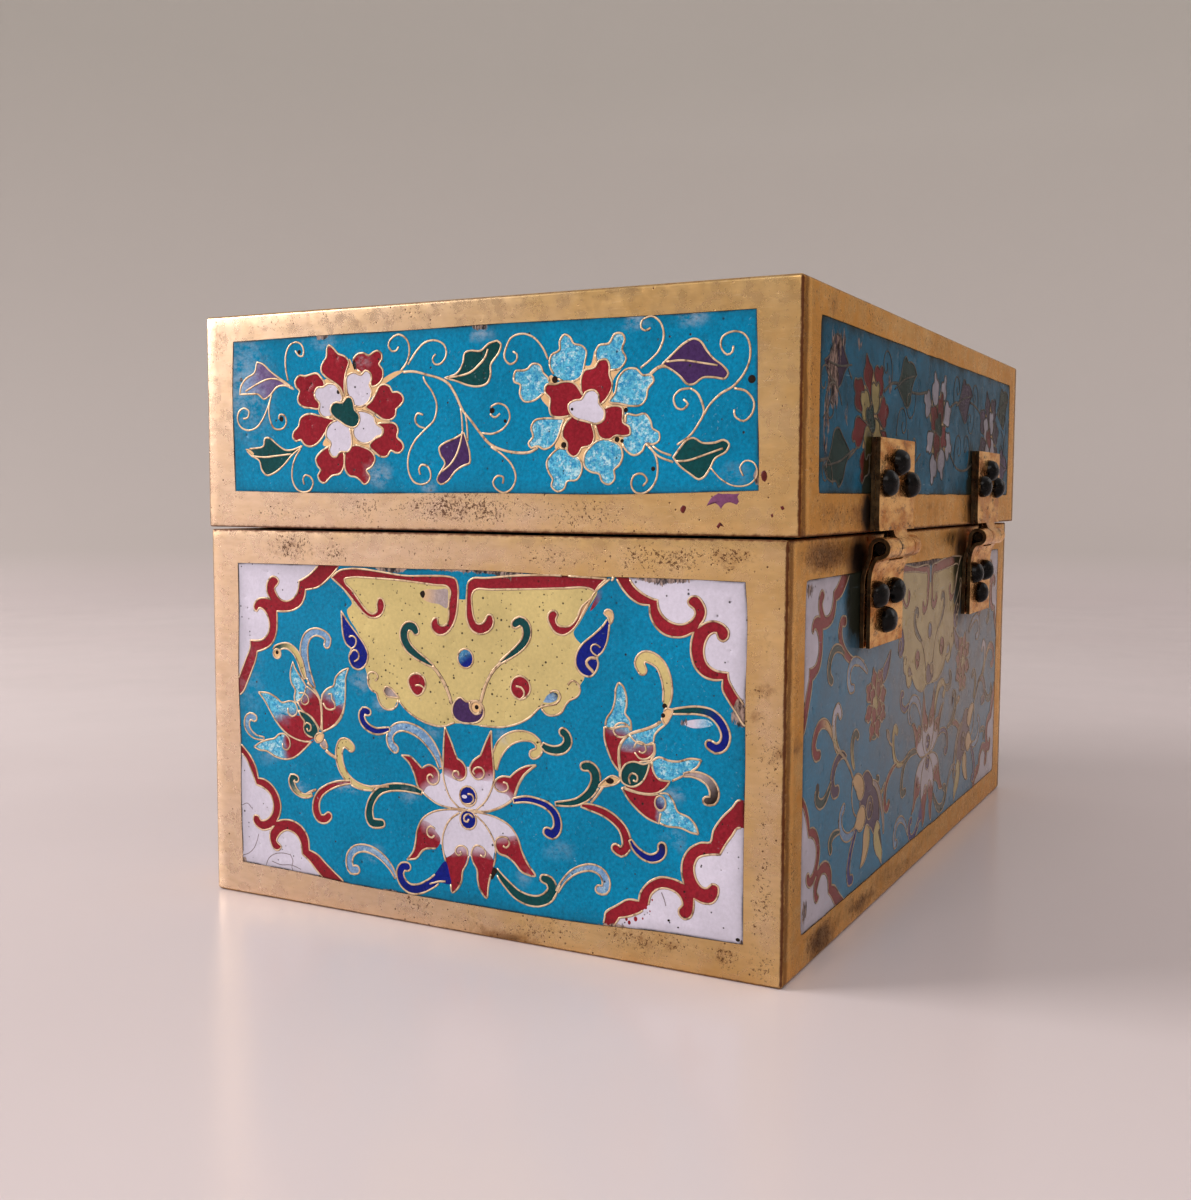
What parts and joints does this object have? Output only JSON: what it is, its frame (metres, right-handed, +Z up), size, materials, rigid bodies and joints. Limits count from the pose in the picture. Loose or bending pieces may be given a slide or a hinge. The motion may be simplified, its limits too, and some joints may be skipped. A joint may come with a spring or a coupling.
{
  "type": "enamelled box with hinged lid",
  "caption": "Rectangular cloisonne enamel box with a deep hinged lid: brass case with floral enamel panels on every face, riveted strap hinges at the back, hollow and empty inside.",
  "frame": {"origin": "centre of the underside of the body, without the hinges", "axes": "+X along the length, +Y to the back where the hinges are, +Z up"},
  "size_m": [0.131, 0.0948, 0.0854],
  "materials": {
    "brass": "worn gilt brass with brown pits and rubbed edges",
    "hinge_brass": "brushed sheet brass, lightly tarnished",
    "dark_bronze": "blackened bronze, satin",
    "enamel": "polished cloisonne enamel, turquoise ground with coloured flowers",
    "lining_enamel": "plain turquoise enamel, slightly orange-peeled"
  },
  "bodies": {
    "body": {"body_enamel_back": "enamel", "body_enamel_base": "enamel", "body_enamel_front": "enamel", "body_enamel_left": "enamel", "body_enamel_right": "enamel", "body_lining": "lining_enamel", "body_shell": "brass", "hinge_leaf_lower_far": "hinge_brass", "hinge_leaf_lower_near": "hinge_brass", "hinge_pin_far": "dark_bronze", "hinge_pin_near": "dark_bronze", "rivet_lower_far_1": "dark_bronze", "rivet_lower_far_2": "dark_bronze", "rivet_lower_far_3": "dark_bronze", "rivet_lower_near_1": "dark_bronze", "rivet_lower_near_2": "dark_bronze", "rivet_lower_near_3": "dark_bronze"},
    "lid": {"hinge_leaf_upper_far": "hinge_brass", "hinge_leaf_upper_near": "hinge_brass", "lid_enamel_back": "enamel", "lid_enamel_front": "enamel", "lid_enamel_left": "enamel", "lid_enamel_right": "enamel", "lid_enamel_top": "enamel", "lid_lining": "lining_enamel", "lid_shell": "brass", "rivet_upper_far_1": "dark_bronze", "rivet_upper_far_2": "dark_bronze", "rivet_upper_far_3": "dark_bronze", "rivet_upper_near_1": "dark_bronze", "rivet_upper_near_2": "dark_bronze", "rivet_upper_near_3": "dark_bronze"}
  },
  "joints": [
    {"name": "lid_hinge", "type": "hinge", "parent": "body", "child": "lid", "pos_m": [0, 0.04755, 0.05245], "axis": [-1, 0, 0], "range_deg": [0, 150]}
  ]
}
